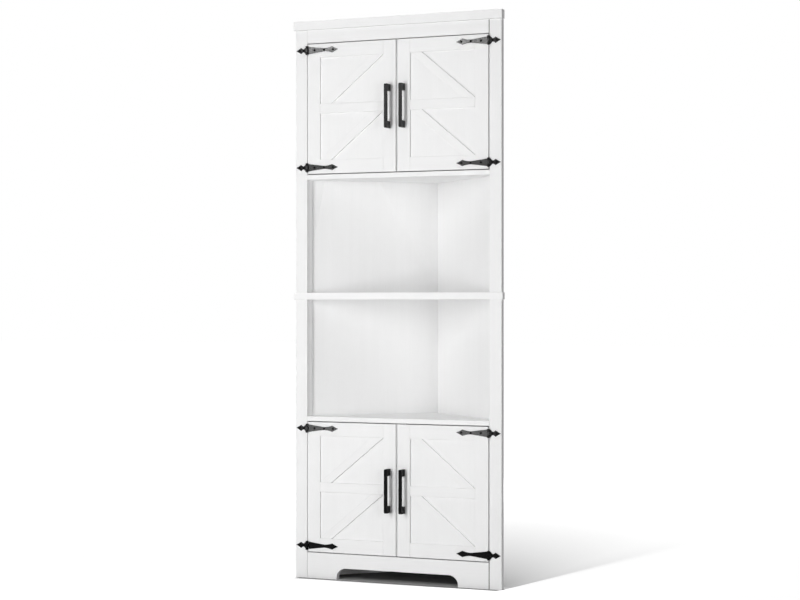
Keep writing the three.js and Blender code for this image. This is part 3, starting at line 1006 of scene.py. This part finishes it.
def dress(name, material, arris):
    """Gives a solid of the frame its finish and softens its edges."""
    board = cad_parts[name]
    board.data.materials.clear()
    board.data.materials.append(material)
    weld = board.modifiers.new("weld", "WELD")
    weld.merge_threshold = SAME_SPOT
    soften = board.modifiers.new("arris", "BEVEL")
    soften.width = arris
    soften.segments = 2
    soften.limit_method = "ANGLE"
    soften.angle_limit = BOARD_ANGLE
    soften.harden_normals = True


class CUPBOARD_OT_boards(Operator):
    """Finishes the boards of the carcass and the slabs of the doors"""

    bl_idname = "cupboard.boards"
    bl_label = "Boards"

    def execute(self, context):
        arris = context.scene.cupboard_laminate.arris
        for level, hand, _ in QUARTERS:
            for part, kind in QUARTER_BOARDS.items():
                dress(f"{level}_{hand}_{part}", laminate(kind), arris)
        for name in FIXED_SHELVES:
            dress(name, laminate("shelves"), arris)
        dress("top_cap", laminate("level"), arris)
        for level in LEVELS:
            dress(f"{level}_loose_shelf", laminate("shelves"), arris)
            dress(f"{level}_magnetic_catch", white_plastic(), arris)
        return {"FINISHED"}


class CUPBOARD_OT_rails(Operator):
    """Makes the two front rails, with open seams where they meet the stiles"""

    bl_idname = "cupboard.rails"
    bl_label = "Front Rails"

    def execute(self, context):
        arris = context.scene.cupboard_laminate.arris
        raw = raw_end_and_seam_shade()
        for name, (left, right) in RAIL_SEAMS.items():
            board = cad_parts[name]
            low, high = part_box(name)
            bm = bmesh.new()
            bm.from_mesh(board.data)
            bmesh.ops.transform(bm, matrix=board.matrix_world, verts=bm.verts)
            bmesh.ops.remove_doubles(bm, verts=bm.verts, dist=SAME_SPOT)
            flat = math.radians(1)
            bmesh.ops.dissolve_limit(bm, angle_limit=flat, verts=bm.verts, edges=bm.edges)
            for vert in bm.verts:
                if vert.co.x < low.x + MM / 10:
                    vert.co.x += left * MM
                elif vert.co.x > high.x - MM / 10:
                    vert.co.x -= right * MM
            bm.normal_update()
            for face in bm.faces:
                at_end = face.calc_center_median().x > high.x - RAW_END_REACH
                face.material_index = int(at_end and face.normal.x > END_FACING)
            rims = [edge for edge in bm.edges if edge.calc_face_angle(0.0) > BOARD_ANGLE]
            round_edges(bm, rims, arris)
            made = f"{name}_board"
            coat = laminate("level")
            board = finished(made, bm, coat, CARCASS, [name], 35)
            board.data.materials.append(raw)
        return {"FINISHED"}


# Stage

CAMERA_TURN = math.radians(23.04)
CAMERA_PLACE = (2.311, -5.433, 0.8947)
CAMERA_LENS = 83.79
SENSOR_WIDTH = 36.0
CAMERA_SHIFT = (0.0044, 0.0018)
FOOT_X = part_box("lower_right_stile")[1].x
LIGHT_AIM = (0.0, 0.0, 0.95)
FLOOR_SIZE = 60.0
# Each lamp's place from the front face, its width and height, the setting of its power, and
# whether gloss mirrors it
LAMPS = {
    "key": ((-0.62, -2.85, 1.0), (0.3, 1.7), "key_power", False),
    "high box": ((-1.25, -2.95, 2.17), (1.1, 0.3), "high_power", True),
    "low box": ((-1.2, -2.8, 0.3), (1.0, 0.4), "low_power", True),
    "side": ((3.2, -2.6, 1.0), (1.0, 1.6), "side_power", False),
    "overhead": ((0.2, -0.4, 3.4), (1.6, 1.2), "top_power", False),
    "over the cap": ((0.0, 0.5, 3.2), (1.2, 0.8), "cap_power", False),
    "rear": ((0.0, 3.6, 0.5), (1.4, 1.0), "rear_power", False),
}
# The painted shadow's fade per metre, and its ramps: from, to, and what those turn into.
# Angles are degrees from straight back, at a front corner
SHADOW_FADE = 0.336
SHADOW_EDGE = (13.5, 9.5, 0.0, 1.0)
SHADOW_SPREAD = (0.0, 1.6, 0.1, 0.98)
SHADOW_CORE = (-18.0, 4.0, 0.0, 1.0)
SHADOW_LEFT = (-24.0, -4.0, 0.0, 1.0)
SHADOW_BEHIND = (-100.0, -92.0, 0.0, 1.0)
# Metres from the foot where the floor starts to pale and where it is white
WHITE_FLOOR = (1.2, 3.5)
# Ramps of the contact shadow painted along the foot, and of the pale floor
CONTACT_SHADOW_FRONT = (FRONT_Y - 0.032, FRONT_Y - 0.006, 0.0, 1.0)
CONTACT_SHADOW_BACK = (FRONT_Y, FRONT_Y + 0.01, 1.0, 0.0)
CONTACT_SHADOW_SIDES = (FOOT_X - 0.015, FOOT_X + 0.004, 1.0, 0.0)
PALE_FLOOR = (FRONT_Y - 0.03, FRONT_Y + 0.08, 1.0, 0.05)
# Under the apron the floor stops glowing, and behind the front its tone is dark: painted shade
UNDER_APRON = 0.012
PAINTED_SHADE_FLOOR = (0.16, 0.16, 0.16, 1.0)
LIGHT_FLOOR = (0.8, 0.8, 0.8, 1.0)


def from_front(x, y, z):
    """A place that is given from the front face."""
    return Vector((x, y + FRONT_Y, z))


def add_light(name, place, size, power, mirrored):
    """An area light of a width and a height that points at the cupboard."""
    data = bpy.data.lights.new(name, "AREA")
    data.shape = "RECTANGLE"
    data.size, data.size_y = size
    data.energy = power
    light = placed(name, data)
    light.location = from_front(*place)
    way = from_front(*LIGHT_AIM) - light.location
    light.rotation_euler = way.to_track_quat("-Z", "Y").to_euler()
    light.visible_camera = False
    light.visible_glossy = mirrored


def background_rays(tree):
    """1 for the rays that show the background: those of the camera, of gloss and of glass."""
    path = node(tree, "LightPath")
    seen = mixed(tree, "MAXIMUM", path.outputs["Is Camera Ray"], path.outputs["Is Glossy Ray"])
    return mixed(tree, "MAXIMUM", seen, path.outputs["Is Transmission Ray"])


def add_world(ambient):
    """An even light, and white where it is seen."""
    world = bpy.data.worlds.new("studio")
    bpy.context.scene.world = world
    world.use_nodes = True
    tree = world.node_tree
    background = tree.nodes["Background"]
    background.inputs["Color"].default_value = (1.0, 1.0, 1.0, 1.0)
    strength = ramp(tree, background_rays(tree), 0.0, 1.0, ambient, 1.0)
    tree.links.new(strength, background.inputs["Strength"])


def floor_axes(tree):
    """The floor's own X and Y."""
    place = node(tree, "TexCoord")
    axes = node(tree, "SeparateXYZ")
    tree.links.new(place.outputs["Object"], axes.inputs["Vector"])
    return axes.outputs["X"], axes.outputs["Y"]


def from_corner(tree, foot_x):
    """Where the floor is from a front corner: how far out and back, and the angle outward."""
    x, y = floor_axes(tree)
    out = mixed(tree, "SUBTRACT", x, foot_x)
    back = mixed(tree, "SUBTRACT", y, FRONT_Y)
    return out, back, product(tree, mixed(tree, "ARCTAN2", out, back), 180 / math.pi)


def painted_shadow(tree):
    """The soft shadow painted on the floor, back and to the right: 0 outside it, 1 at the foot."""
    out, back, angle = from_corner(tree, FOOT_X)
    squares = mixed(tree, "MULTIPLY_ADD", out, out, product(tree, back, back))
    reach = mixed(tree, "SQRT", squares)
    fade = mixed(tree, "POWER", SHADOW_FADE, reach)
    spread = ramp(tree, reach, *SHADOW_SPREAD)
    lost = product(tree, spread, ramp(tree, angle, *SHADOW_CORE))
    body = mixed(tree, "SUBTRACT", 1.0, lost)
    edge = ramp(tree, angle, *SHADOW_EDGE, smooth=True)
    left_edge = ramp(tree, from_corner(tree, -FOOT_X)[2], *SHADOW_LEFT, smooth=True)
    sides = product(tree, edge, left_edge, ramp(tree, angle, *SHADOW_BEHIND))
    return reach, product(tree, fade, body, sides)


def floor_material(light):
    """A white floor with painted shadow beside the cupboard, under it and along its foot."""
    plain = {"Roughness": 0.9, "Specular_IOR_Level": 0.0, "Emission_Color": (1.0, 1.0, 1.0, 1.0)}
    material, tree, shader = new_material("studio floor", **plain)
    x, y = floor_axes(tree)
    # No glow in the cupboard's footprint: painted shade under it
    sideways = mixed(tree, "ABSOLUTE", x)
    inside = mixed(tree, "LESS_THAN", mixed(tree, "ADD", sideways, y), WALL_REACH)
    behind = mixed(tree, "GREATER_THAN", y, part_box("base_apron")[1].y - UNDER_APRON)
    clear_of_footprint_shade = mixed(tree, "SUBTRACT", 1.0, product(tree, inside, behind))
    # The painted shadow takes glow out of the white floor
    reach, depth = painted_shadow(tree)
    white = ramp(tree, reach, *WHITE_FLOOR, light.floor_glow, 1.0, smooth=True)
    glow_less_painted_shadow = mixed(tree, "SUBTRACT", white, product(tree, depth, light.painted_shadow_depth))
    # A contact shadow painted in a thin band along the front and right foot
    foot = ramp(tree, y, *CONTACT_SHADOW_FRONT)
    under = product(tree, foot, ramp(tree, sideways, *CONTACT_SHADOW_SIDES), ramp(tree, y, *CONTACT_SHADOW_BACK))
    clear_of_contact_shadow = mixed(tree, "SUBTRACT", 1.0, under)
    glow = product(tree, glow_less_painted_shadow, clear_of_footprint_shade, clear_of_contact_shadow, background_rays(tree))
    tree.links.new(glow, shader.inputs["Emission Strength"])
    tone = node(tree, "Mix", data_type="RGBA", A=PAINTED_SHADE_FLOOR, B=LIGHT_FLOOR)
    pale = ramp(tree, y, *PALE_FLOOR)
    tree.links.new(product(tree, pale, clear_of_contact_shadow), tone.inputs["Factor"])
    tree.links.new(tone.outputs["Result"], shader.inputs["Base Color"])
    return material


class CUPBOARD_OT_stage(Operator):
    """Makes the floor, the lights and the camera"""

    bl_idname = "cupboard.stage"
    bl_label = "Stage"

    def execute(self, context):
        light = context.scene.cupboard_light
        context.scene.view_settings.view_transform = "Standard"
        bm = bmesh.new()
        bmesh.ops.create_grid(bm, x_segments=1, y_segments=1, size=FLOOR_SIZE / 2)
        mesh = bpy.data.meshes.new("floor")
        bm.to_mesh(mesh)
        bm.free()
        mesh.materials.append(floor_material(light))
        floor = placed("floor", mesh)
        add_world(light.ambient)
        for name, (place, size, setting, mirrored) in LAMPS.items():
            add_light(name, place, size, getattr(light, setting), mirrored)
        data = bpy.data.cameras.new("camera")
        data.sensor_width = SENSOR_WIDTH
        data.lens = CAMERA_LENS
        data.shift_x, data.shift_y = CAMERA_SHIFT
        camera = placed("camera", data)
        camera.location = from_front(*CAMERA_PLACE)
        camera.rotation_euler = (math.pi / 2, 0.0, CAMERA_TURN)
        context.scene.camera = camera
        return {"FINISHED"}


class CUPBOARD_PT_panel(Panel):
    """Lists the pieces of the cupboard"""

    bl_idname = "CUPBOARD_PT_panel"
    bl_label = "Corner Cupboard"
    bl_space_type = "VIEW_3D"
    bl_region_type = "UI"
    bl_category = "Cupboard"

    def draw(self, context):
        for operator in OPERATORS:
            self.layout.operator(operator.bl_idname)
        for name in SETTINGS:
            settings = getattr(context.scene, name)
            box = self.layout.box()
            for key in settings.__annotations__:
                box.prop(settings, key)


SETTINGS = {
    "cupboard_laminate": LaminateFinish,
    "cupboard_black": BlackFinish,
    "cupboard_doors": DoorSizes,
    "cupboard_handles": HandleSizes,
    "cupboard_hinges": HingeSizes,
    "cupboard_fixings": FixingSizes,
    "cupboard_light": StageLight,
}
OPERATORS = (
    CUPBOARD_OT_stage,
    CUPBOARD_OT_boards,
    CUPBOARD_OT_rails,
    CUPBOARD_OT_door_frames,
    CUPBOARD_OT_handles,
    CUPBOARD_OT_hinges,
    CUPBOARD_OT_handle_bolts,
    CUPBOARD_OT_strike_plates,
    CUPBOARD_OT_screw_caps,
)


def register():
    """Registers the settings, the operators and the panel."""
    for name, group in SETTINGS.items():
        bpy.utils.register_class(group)
        setattr(bpy.types.Scene, name, PointerProperty(type=group))
    for operator in OPERATORS:
        bpy.utils.register_class(operator)
    bpy.utils.register_class(CUPBOARD_PT_panel)


def unregister():
    """Takes away what register added."""
    bpy.utils.unregister_class(CUPBOARD_PT_panel)
    for operator in reversed(OPERATORS):
        bpy.utils.unregister_class(operator)
    for name, group in reversed(SETTINGS.items()):
        delattr(bpy.types.Scene, name)
        bpy.utils.unregister_class(group)


def main():
    """Makes every piece and the stage."""
    register()
    bpy.ops.cupboard.stage()
    bpy.ops.cupboard.boards()
    bpy.ops.cupboard.rails()
    bpy.ops.cupboard.door_frames()
    bpy.ops.cupboard.handles()
    bpy.ops.cupboard.hinges()
    bpy.ops.cupboard.handle_bolts()
    bpy.ops.cupboard.strike_plates()
    bpy.ops.cupboard.screw_caps()


if __name__ == "__main__":
    main()
